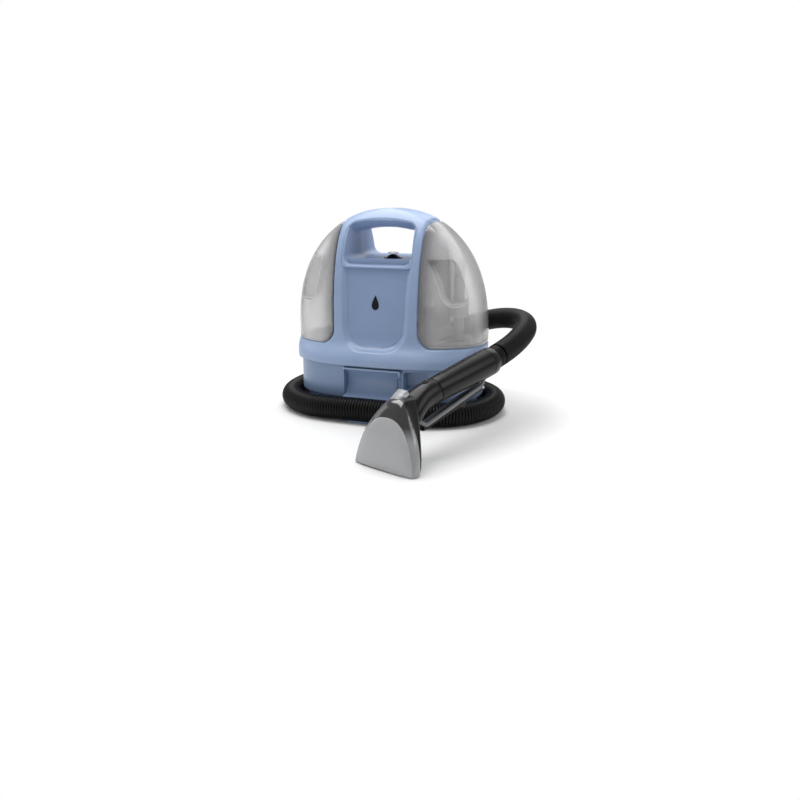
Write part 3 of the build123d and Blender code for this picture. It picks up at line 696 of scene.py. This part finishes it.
def housing(roll):
    """Skirt, pillars and handle in one skin, with the tank bays and the hand opening taken out."""
    body = body_form("housing", 0.0, *FINEST)
    press_in(body, roll)
    for sign in (-1, 1):
        cut(body, bay_tool(sign, 0.0))
    cut(body, opening_block("opening"))
    cut(body, bib_tool(-4.4, 2.6))
    for x, radius in ((-TANK_X, 19), (TANK_X, 12.5)):
        cut(body, post_tool("well", (x, BODY_Y), radius, 100, 116))
    cut(body, post_tool("button_well", (0, BUTTON_Y), BUTTON_RADIUS + 1, 216, 240))
    cut(body, box_tool("vent", *VENT, 3.0))
    cut(body, hollow())
    return body


def hollow():
    """The space inside the housing, open at the skirt's foot."""
    inner = body_form("inner", HOUSING_WALL)
    for sign in (-1, 1):
        cut(inner, bay_tool(sign, -HOUSING_WALL))
    cut(inner, opening_block("opening", -HOUSING_WALL))
    cut(inner, bib_tool(4.0, 3.2))
    cut(inner, post_tool("well", (-TANK_X, BODY_Y), 21, 97, 130))
    for vertex in inner.data.vertices:
        if vertex.co.z < (SKIRT_FOOT + 0.1) * MM:
            vertex.co.z -= 12 * MM
    return inner


def split_housing(body):
    """Parts the housing into its front and rear mouldings, with a fine gap at the middle seam."""
    rear = copy_of(body, "rear_housing_piece")
    body.name = "front_housing_piece"
    gap = 0.12
    cut(body, box_tool("behind", (-SIDE, SIDE), (BODY_Y - gap, SIDE), (0, 400)))
    cut(rear, box_tool("ahead", (-SIDE, SIDE), (-SIDE, BODY_Y + gap), (0, 400)))
    return body, rear


class SPOT_OT_housing(bpy.types.Operator):
    """Builds the front and rear housings"""
    bl_idname = "spot.housing"
    bl_label = "Housings"

    def execute(self, context):
        edge = context.scene.spot_body.edge
        front, rear = split_housing(housing(context.scene.spot_body.roll))
        for thing in (front, rear):
            round_edges(thing, edge, 3, 38)
            smooth(thing, 40)
        hand_over(front, "machine", "body_plastic", "body", "front_housing", "tank_catches")
        hand_over(rear, "machine", "body_plastic", "body", "rear_housing")
        return {"FINISHED"}


def droplet_outline():
    """A plain water drop, pointed at the top."""
    width, height, middle = 8.0, 22.0, 176.0
    points = []
    for step in range(48):
        turn = 2 * pi * step / 48
        points.append((width * sin(turn) * sin(turn / 2) ** 1.5, middle + height / 2 * cos(turn)))
    return points[::-1]


def skin_piece(name, outline, proud, deep, slot, material, *replaced):
    """A thin piece of the dished skin inside a front-view outline, from proud to deep, both inwards in mm."""
    piece = body_form(name, proud, *FINE)
    press_in(piece, 0.0)
    behind = body_form("behind", deep, *FINE)
    press_in(behind, 0.0)
    tool = outline_tool("tool", outline, FRONT, -30)
    cut(tool, behind)
    cut(piece, tool, "INTERSECT")
    round_edges(piece, 0.3, 2, 40)
    smooth(piece, 40)
    hand_over(piece, "machine", slot, material, *replaced)


class SPOT_OT_tower(bpy.types.Operator):
    """Builds the tower's top cover and the recessed front panel"""
    bl_idname = "spot.tower"
    bl_label = "Tower cover and panel"

    def execute(self, context):
        cover = body_form("top_cover_piece", 0.9, *FINE)
        cut(cover, opening_block("slab", 0.25), "INTERSECT")
        cut(cover, opening_void("void"))
        cut(cover, post_tool("button_hole", (0, BUTTON_Y), BUTTON_RADIUS + 0.2, 216, 245))
        round_edges(cover, 1.3, 4, 42)
        smooth(cover, 40)
        hand_over(cover, "machine", "body_plastic", "body", "top_cover")
        skin_piece("front_panel_piece", bib_outline(-4.65), 0.1, 2.4, "base_plastic", "panel", "front_panel")
        skin_piece("emblem_piece", droplet_outline(), -0.35, 0.6, "black_plastic", "trim")
        return {"FINISHED"}


# Top of the dirty tank's base, and the finger recesses' front outlines
RIM_TOP = 115.6
LEFT_GRIP = ((-122, 243), (-90, 241), (-93, 222), (-103, 180), (-113, 173), (-133, 177))
RIGHT_GRIP = ((76, 240), (124, 243), (133, 215), (139, 178), (116, 173), (103, 182), (92, 214))


class SPOT_OT_tanks(bpy.types.Operator):
    """Builds the clean and dirty water tanks"""
    bl_idname = "spot.tanks"
    bl_label = "Tanks"

    def execute(self, context):
        for sign, node, grip in ((-1, "clean_tank", LEFT_GRIP), (1, "dirty_tank", RIGHT_GRIP)):
            tank = body_form(f"{node}_piece", 0.3, *FINE)
            cut(tank, bay_tool(sign, 0.45, True), "INTERSECT")
            if sign > 0:
                cut(tank, box_tool("below", (0, SIDE), (FRONT, BACK), (100, RIM_TOP)))
            cut(tank, grip_tool(grip))
            round_edges(tank, 2.2, 4, 45)
            modify(tank, "SOLIDIFY", thickness=TANK_WALL * MM, offset=-1.0)
            if sign > 0:
                cut(tank, mouth_tool())
            smooth(tank, 45)
            hand_over(tank, node, "tank_plastic", "tank", node)
        rim = body_form("dirty_tank_base_piece", 0.5, *FINE)
        cut(rim, bay_tool(1, 0.6), "INTERSECT")
        cut(rim, box_tool("above", (0, SIDE), (FRONT, BACK), (RIM_TOP - 0.4, 400)))
        cut(rim, post_tool("spigot", (TANK_X, BODY_Y), 12, 103, RIM_TOP - 1), "UNION")
        cut(rim, post_tool("bore", (TANK_X, BODY_Y), 8.6, 90, 130))
        round_edges(rim, 0.6, 2, 45)
        smooth(rim, 45)
        hand_over(rim, "dirty_base", "tank_plastic", "inner_tank", "dirty_tank_base", "tank_seal")
        return {"FINISHED"}


def mouth_tool():
    """The open underside of the dirty tank's shell."""
    plug = body_form("plug", 2.9)
    cut(plug, bay_tool(1, 3.1), "INTERSECT")
    cut(plug, box_tool("above", (0, SIDE), (FRONT, BACK), (RIM_TOP + 4, 400)))
    transform_mesh(plug, Matrix.Translation((0, 0, -1)))
    return plug


def grip_tool(points):
    """Finger recess: the outline carried in from the front, with its corners rounded."""
    thing = outline_tool("grip", points, FRONT, -40)
    modify(thing, "BEVEL", width=7 * MM, segments=4, limit_method="ANGLE", angle_limit=radians(12))
    return thing


# -------------------------- base

# Rings of the tub from its foot, through the hose's groove, to inside the skirt: z, half width, half depth
TUB_RINGS = (
    (5, 132, 71), (6.5, 137.2, 76.2), (9, 138, 77), (28.6, 138, 77), (29.4, 139, 78),
    (30, 145, 84), (31, 146.5, 85.3), (33, 146.9, 85.7), (58, 146.9, 85.7), (83.9, 146.9, 85.7),
)
TUB_POWER = 2.51
LATCH_POCKET = ((49.5, 86.5), (-110, -62), (49.5, 76.5))
CRADLE_WINDOW = ((-46.6, 47.6), (-110, -66.4), (32.5, 78.6))


class SPOT_OT_base(bpy.types.Operator):
    """Builds the base tub with its groove for the hose"""
    bl_idname = "spot.base"
    bl_label = "Base"

    def execute(self, context):
        def place(turn, row):
            z, half, depth = TUB_RINGS[row]
            return oval_point(turn, half, depth, TUB_POWER, 0, z)

        tub = wrapped("base_shell_piece", 128, len(TUB_RINGS), place)
        cut(tub, box_tool("pocket", *LATCH_POCKET, 4.0))
        cut(tub, box_tool("cradle_window", *CRADLE_WINDOW))
        smooth(tub, 40)
        hand_over(tub, "machine", "base_plastic", "base", "base_shell")
        for node in ("base_plate", "cradle_latch"):
            dressed(node, "machine", "base_plastic", "base", 0.3)
        dressed("hose_cradle", "machine", "body_plastic", "body", 0.5)
        dressed("rubber_feet", "machine", "seal_rubber", "rubber", 0.6)
        return {"FINISHED"}


# -------------------------- hose

def line_points(curve_object):
    """Points read from a curve's own smooth line."""
    mesh = bpy.data.meshes.new_from_object(curve_object)
    points = [v.co.copy() for v in mesh.vertices]
    bpy.data.meshes.remove(mesh)
    return points


def hose_line():
    data = bpy.data.curves.new("hose_line", "CURVE")
    data.dimensions = "3D"
    data.resolution_u = 24
    spline = data.splines.new("NURBS")
    spline.points.add(len(HOSE_ROUTE) - 1)
    for point, place in zip(spline.points, HOSE_ROUTE):
        point.co = (*place, 1.0)
    spline.order_u = 3
    spline.use_endpoint_u = True
    line = bpy.data.objects.new("hose_line", data)
    bpy.context.scene.collection.objects.link(line)
    points = line_points(line)
    bpy.data.objects.remove(line)
    return points


def even_steps(points, step):
    """Walks along a line and marks it at equal steps."""
    lengths = [0.0]
    for a, b in zip(points, points[1:]):
        lengths.append(lengths[-1] + (b - a).length)
    count = round(lengths[-1] / step)
    marks, index = [], 0
    for k in range(count + 1):
        along = lengths[-1] * k / count
        while index < len(points) - 2 and lengths[index + 1] < along:
            index += 1
        share = (along - lengths[index]) / max(lengths[index + 1] - lengths[index], 1e-9)
        marks.append(points[index].lerp(points[index + 1], share))
    return marks, lengths[-1]


def ribbed_tube(name, points, radius, pitch, depth, sides=28):
    """Corrugated tube along a line: four rings to a rib, a narrow valley and a rounded crest."""
    heights = (0.0, 0.82, 1.0, 0.82)
    marks, length = even_steps(points, pitch / len(heights))
    side = None
    verts = []
    for k, mark in enumerate(marks):
        ahead = (marks[min(k + 1, len(marks) - 1)] - marks[max(k - 1, 0)]).normalized()
        side = side or ahead.orthogonal().normalized()
        side = (side - ahead * side.dot(ahead)).normalized()
        up = ahead.cross(side)
        ring = radius - depth * (1 - heights[k % len(heights)])
        for j in range(sides):
            angle = 2 * pi * j / sides
            verts.append(mark + (side * cos(angle) + up * sin(angle)) * ring)
    ends = [tuple(reversed(range(sides))), tuple(range(len(verts) - sides, len(verts)))]
    return closed_thing(name, verts, ring_quads(len(verts), sides) + ends), length


class SPOT_OT_hose(bpy.types.Operator):
    """Builds the ribbed suction hose with its port and cuff"""
    bl_idname = "spot.hose"
    bl_label = "Hose"

    def execute(self, context):
        settings = context.scene.spot_hose
        points = hose_line()
        radius, ribs = settings.diameter / 2, (settings.pitch, settings.rib_depth)
        tube, length = ribbed_tube("hose_piece", points, radius, *ribs)
        smooth(tube, 60)
        hand_over(tube, "machine", "hose_plastic", "hose", "hose")
        port = dressed("hose_port", "machine", "black_plastic", "trim", 0.8)
        end = TOOL_PLACE @ Vector((0, CUFF_END, tool_axis(CUFF_END)))
        cuff, _ = ribbed_tube("hose_cuff_piece", [points[-1], end * MM], radius - 0.0002, *ribs)
        smooth(cuff, 60)
        hand_over(cuff, "machine", "black_plastic", "hose", "hose_cuff")
        return {"FINISHED"}


# -------------------------- hand tool

# All in the tool's frame: X across the lip, Y back from the lip, Z up
CUFF_END = 221.0
HANDLE_SLOPE = 0.172
TOOL_TILT = 9.8
HANDLE_RINGS = (
    # distance back from the lip, radius: seam edge, swelling grip, fine groove, rear edge
    (96.4, 16.2), (97.0, 17.2), (99, 17.5), (120, 18.0), (150, 19.0), (180, 19.8),
    (207.8, 20.0), (208.2, 19.5), (208.9, 19.5), (209.3, 20.0), (219, 19.8), (222, 18.4),
)
NECK_COLLAR = ((96.0, 16.2), (95.4, 17.2), (93, 17.5), (86, 17.6))
NECK_BEND = (
    # centre y, z, half width, half height, tilt, power
    (76, 79.4, 18.2, 17.6, 14, 2.0), (66, 76.2, 19.6, 17.6, 21, 2.0), (56, 71.8, 21.6, 17.2, 30, 2.1),
    (47, 66.0, 23.4, 16.6, 41, 2.2), (40, 59.5, 24.0, 15.6, 52, 2.2), (35, 53.0, 23.0, 13.6, 60, 2.2),
)
NOZZLE_PLACE = TOOL_PLACE @ Matrix.Translation((2.2, 0, 0))
NOZZLE_LEAN = Matrix.Rotation(radians(-9), 4, "X")
SPRAY_PLACE = TOOL_PLACE @ Matrix.Translation((0, 32, 88)) @ Matrix.Rotation(radians(34), 4, "X")
SPRAY_TIP = ((-8.5, 8.5), (-10, 10), (-4, 4))
LOCK_BACK = 81.0

# Half width at the lip and height of the front-view bells of the clear cheeks and the window
CHEEKS_BELL = (64, 100)
WINDOW_BELL = (48.6, 66.5)
NOZZLE = (
    # height, front, back, half width
    (0.6, -3.6, 13.0, 49.6), (3, -4.4, 17.0, 50.6), (9, -3.8, 20.5, 50.4), (18, -2.4, 23.0, 49.0),
    (28, -0.8, 25.5, 46.6), (38, 0.9, 28.5, 43.2), (47, 2.6, 32.0, 39.2), (55, 4.4, 36.0, 34.6),
    (62, 6.4, 40.0, 30.0), (69, 9.0, 43.5, 25.2), (75, 12.0, 46.0, 20.8), (80, 15.6, 48.0, 17.0),
    (84, 19.6, 49.0, 13.8), (87, 24.0, 48.0, 10.0),
)


def tool_axis(s):
    """Height of the handle's axis at a distance back from the lip."""
    return 84.6 + (s - 102.3) * HANDLE_SLOPE


def round_ring(s, radius):
    """One ring of the handle, for lofted."""
    return (s, tool_axis(s), radius, radius, TOOL_TILT, 2.0)


def lofted(name, rings, around=48, placed=TOOL_PLACE):
    """A closed form through rings in the tool's frame: centre y, z, half width, half height, tilt, power."""

    def place(turn, row):
        y, z, wide, high, tilt, power = rings[row]
        across, up, _ = oval_point(turn, wide, high, power, 0, 0)
        return (across, y - up * sin(radians(tilt)), z + up * cos(radians(tilt)))

    thing = wrapped(name, around, len(rings), place)
    transform_mesh(thing, placed)
    return thing


def nozzle_form(name, grow=0.0):
    """The suction head's outer form: wide and shallow at the lip, closing to an arch."""
    rings = [((front + back) / 2, z, half + grow, (back - front) / 2 + grow, 90, 3.6)
             for z, front, back, half in NOZZLE]
    return lofted(name, rings, 96, NOZZLE_PLACE)


def bell_outline(half, top):
    """Front view of the nozzle's window: straight lip and arched top."""
    points = []
    for step in range(41):
        turn = pi * step / 40
        x = half * abs(cos(turn)) ** 0.83 * (1 if cos(turn) > 0 else -1)
        points.append((x, 1.0 + (top - 1.0) * sin(turn) ** 1.4))
    return points


def nozzle_skin(name, outline, depth, proud):
    """Part of the nozzle's outer skin inside a front-view outline, down to a depth."""
    skin = nozzle_form(name, proud)
    tool = outline_tool("bell", outline, -20, depth)
    transform_mesh(tool, NOZZLE_PLACE @ NOZZLE_LEAN)
    cut(skin, tool, "INTERSECT")
    cut(skin, nozzle_form("core", 0.04))
    round_edges(skin, 0.25, 2, 40)
    smooth(skin, 50)
    return skin


def tool_button():
    """Builds the oval release button with its dished top."""
    button = primitive("tool_lock_piece", "cylinder", vertices=40, radius=5.2 * MM, depth=4 * MM)

    def dish():
        bpy.ops.mesh.select_all(action="DESELECT")
        bpy.ops.object.mode_set(mode="OBJECT")
        for face in button.data.polygons:
            face.select = face.normal.z > 0.9
        bpy.ops.object.mode_set(mode="EDIT")
        bpy.ops.mesh.inset(thickness=1.3 * MM)
        bpy.ops.transform.translate(value=(0, 0, -1.0 * MM))

    edit(button, dish)
    round_edges(button, 0.4, 2, 40)
    transform_mesh(button, Matrix.Diagonal((0.8, 1.15, 1, 1)))
    lean = Matrix.Rotation(radians(TOOL_TILT + 4), 4, "X")
    seat = Matrix.Translation((0, LOCK_BACK, tool_axis(LOCK_BACK) + 16.4))
    transform_mesh(button, TOOL_PLACE @ seat @ lean)
    smooth(button, 40)
    hand_over(button, "tool_lock", "black_plastic", "trim", "tool_lock")


class SPOT_OT_tool(bpy.types.Operator):
    """Builds the hand tool: handle, neck, nozzle, window and small parts"""
    bl_idname = "spot.tool"
    bl_label = "Hand tool"

    def execute(self, context):
        handle = lofted("tool_handle_piece", [round_ring(*ring) for ring in HANDLE_RINGS])
        hole = post_tool("hole", (0, 197), 1.5, 100, 140)
        transform_mesh(hole, TOOL_PLACE)
        cut(handle, hole)
        neck = lofted("tool_neck_piece", [*(round_ring(*ring) for ring in NECK_COLLAR), *NECK_BEND])
        nozzle = nozzle_form("nozzle_body_piece")
        for thing, node in ((handle, "tool_handle"), (neck, "tool_neck"), (nozzle, "nozzle_body")):
            smooth(thing, 50)
            hand_over(thing, "machine", "black_plastic", "black", node)
        cheeks = nozzle_skin("nozzle_cheeks_piece", bell_outline(*CHEEKS_BELL), 9, 0.8)
        hand_over(cheeks, "machine", "clear_plastic", "cheeks")
        window = nozzle_skin("nozzle_window_piece", bell_outline(*WINDOW_BELL), 2.5, 1.5)
        hand_over(window, "machine", "clear_plastic", "window", "nozzle_window")
        spray = box_tool("spray_tip_piece", *SPRAY_TIP, 2.4)
        transform_mesh(spray, SPRAY_PLACE)
        smooth(spray, 50)
        hand_over(spray, "machine", "clear_plastic", "clear", "spray_tip")
        # The spray tube's light grey is a painted highlight.
        dressed("spray_tube", "machine", "black_plastic", "rod", 0)
        dressed("trigger_pin", "machine", "steel", "steel", 0.3)
        dressed("tool_trigger", "trigger", "black_plastic", "trim", 0.8)
        tool_button()
        return {"FINISHED"}


# -------------------------- the rest

PLAIN_NODES = (
    ("rear_grille", "base"), ("cord_gland", "trim"), ("button_bezel", "black"), ("power_switch", "trim"),
    ("motor_can", "steel"), ("motor_stator", "steel"), ("motor_armature", "steel"),
    ("motor_mount", "rubber"), ("motor_shaft", "steel"), ("impeller", "aluminium"),
    ("fan_housing", "natural"), ("pump_body", "trim"), ("pump_rotor", "natural"), ("pump_cover", "steel"),
    ("supply_line", "clear"), ("suction_duct", "trim"), ("clean_receiver", "trim"),
    ("housing_screws", "steel"), ("base_screws", "steel"), ("clean_tank_cap", "trim"),
    ("valve_plunger", "natural"), ("standpipe", "inner_tank"), ("tank_float", "natural"),
    ("power_button", "black"), ("button_cap", "clear"),
)


class SPOT_OT_fittings(bpy.types.Operator):
    """Gives the remaining CAD pieces their finishes"""
    bl_idname = "spot.fittings"
    bl_label = "Fittings"

    def execute(self, context):
        for name, material in PLAIN_NODES:
            NODES[name].data.materials.clear()
            NODES[name].data.materials.append(MATERIALS[material])
        return {"FINISHED"}


# -------------------------- stage

WHITE = (1, 1, 1, 1)
LIGHTS = (
    # name, place, size, share of the key light's power
    ("key", (-0.3, 0.2, 1.8), 1.6, 1.0), ("left", (-1.7, -0.2, 0.8), 0.9, 0.07),
    ("right", (1.6, 0.1, 1.0), 0.9, 0.12), ("back", (0.3, 1.5, 1.4), 1.2, 0.15),
)
LIGHTS_AIM = (0, 0, 0.12)
LENS = 35.87
CAMERA_PLACE = (0.44338, -1.16918, 0.33348)
CAMERA_YAW, CAMERA_PITCH = radians(20.17), radians(14.53)


def floor_material():
    """White board near the object, fading for the camera to plain white paper."""
    material, tree, shader = new_material(
        "floor_white_board", Roughness=0.75, Base_Color=hex_linear("#e2e2e2"))
    place = add_node(tree, "ShaderNodeTexCoord")
    away = add_node(tree, "ShaderNodeVectorMath", {"operation": "LENGTH"}, {0: place.outputs["Object"]})
    fade = add_node(tree, "ShaderNodeMapRange", {"interpolation_type": "SMOOTHSTEP"}, {
        "Value": away.outputs["Value"], "From Min": 0.25, "From Max": 0.62})
    seen = add_node(tree, "ShaderNodeLightPath")
    lit = add_node(tree, "ShaderNodeMath", {"operation": "MULTIPLY"}, {
        0: fade.outputs["Result"], 1: seen.outputs["Is Camera Ray"]})
    paper = add_node(tree, "ShaderNodeEmission", inputs={"Color": WHITE, "Strength": 1.0})
    both = add_node(tree, "ShaderNodeMixShader", inputs={
        0: lit.outputs["Value"], 1: shader.outputs[0], 2: paper.outputs[0]})
    tree.links.new(both.outputs[0], tree.nodes["Material Output"].inputs["Surface"])
    return material


def studio_world(strength):
    """Even light from all round, which the camera sees as white paper."""
    world = bpy.data.worlds.new("studio")
    world.use_nodes = True
    tree = world.node_tree
    ambient = tree.nodes["Background"]
    ambient.inputs["Color"].default_value = WHITE
    ambient.inputs["Strength"].default_value = strength
    paper = add_node(tree, "ShaderNodeBackground", inputs={"Color": WHITE, "Strength": 1.0})
    seen = add_node(tree, "ShaderNodeLightPath")
    both = add_node(tree, "ShaderNodeMixShader", inputs={
        0: seen.outputs["Is Camera Ray"], 1: ambient.outputs[0], 2: paper.outputs[0]})
    tree.links.new(both.outputs[0], tree.nodes["World Output"].inputs["Surface"])
    return world

class SPOT_OT_stage(bpy.types.Operator):
    """Adds the floor, the lights and the camera"""
    bl_idname = "spot.stage"
    bl_label = "Stage"

    def execute(self, context):
        settings = context.scene.spot_stage
        floor = primitive("floor", "plane", size=12, location=(0, 0, 0))
        floor.data.materials.append(floor_material())
        context.scene.world = studio_world(settings.fill)
        for name, place, size, share in LIGHTS:
            light = bpy.data.lights.new(name, "AREA")
            light.energy = settings.key_power * share
            light.size = size
            lamp = bpy.data.objects.new(name, light)
            lamp.location = place
            lamp.rotation_euler = (Vector(LIGHTS_AIM) - Vector(place)).to_track_quat("-Z", "Y").to_euler()
            context.scene.collection.objects.link(lamp)
        lens = bpy.data.cameras.new("camera")
        lens.lens = LENS
        lens.sensor_width = 36
        camera = bpy.data.objects.new("camera", lens)
        camera.location = CAMERA_PLACE
        camera.rotation_euler = (pi / 2 - CAMERA_PITCH, 0, CAMERA_YAW)
        context.scene.collection.objects.link(camera)
        context.scene.camera = camera
        context.scene.view_settings.view_transform = "Standard"
        return {"FINISHED"}


class SPOT_PT_panel(bpy.types.Panel):
    """Lists the build steps"""
    bl_label = "Spot extractor"
    bl_idname = "SPOT_PT_panel"
    bl_space_type = "VIEW_3D"
    bl_region_type = "UI"
    bl_category = "Spot extractor"

    def draw(self, context):
        for group in (context.scene.spot_body, context.scene.spot_hose, context.scene.spot_stage):
            for name in group.__annotations__:
                self.layout.prop(group, name)
        for step in STEPS:
            self.layout.operator(step.bl_idname)


STEPS = (SPOT_OT_stage, SPOT_OT_hose, SPOT_OT_housing, SPOT_OT_tower, SPOT_OT_tanks, SPOT_OT_base,
         SPOT_OT_tool, SPOT_OT_fittings)
GROUPS = {"spot_body": BodySettings, "spot_hose": HoseSettings, "spot_stage": StageSettings}


def register():
    for name, group in GROUPS.items():
        bpy.utils.register_class(group)
        setattr(bpy.types.Scene, name, bpy.props.PointerProperty(type=group))
    for step in (*STEPS, SPOT_PT_panel):
        bpy.utils.register_class(step)


def unregister():
    for step in (*STEPS, SPOT_PT_panel):
        bpy.utils.unregister_class(step)
    for name, group in GROUPS.items():
        delattr(bpy.types.Scene, name)
        bpy.utils.unregister_class(group)


def main():
    register()
    make_materials()
    for step in STEPS:
        group, call = step.bl_idname.split(".")
        getattr(getattr(bpy.ops, group), call)()


if __name__ == "__main__":
    main()
